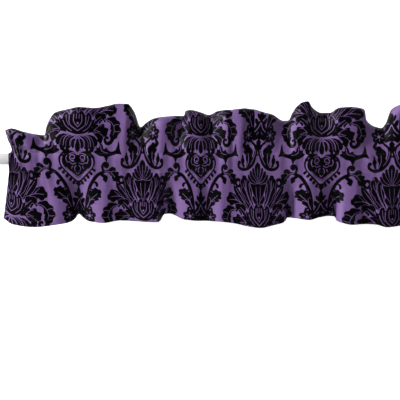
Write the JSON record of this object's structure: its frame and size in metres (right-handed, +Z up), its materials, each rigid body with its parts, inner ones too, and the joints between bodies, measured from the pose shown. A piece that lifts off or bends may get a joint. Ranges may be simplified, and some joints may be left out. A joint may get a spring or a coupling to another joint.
{
  "type": "window valance on a curtain pole",
  "caption": "Ruffled rod-pocket window valance: a gathered damask cloth with a stand-up header and a skirt, on a plain round white pole.",
  "frame": {"origin": "on the pole's axis, halfway along it", "axes": "+X along the pole, +Z up, the front of the cloth faces -Y"},
  "size_m": [1.58, 0.1106, 0.4107],
  "materials": {
    "cloth": "purple plain weave with a black damask pattern",
    "pole_paint": "white satin paint"
  },
  "bodies": {
    "root": {"valance_cloth": "cloth", "pole": "pole_paint"}
  },
  "joints": []
}
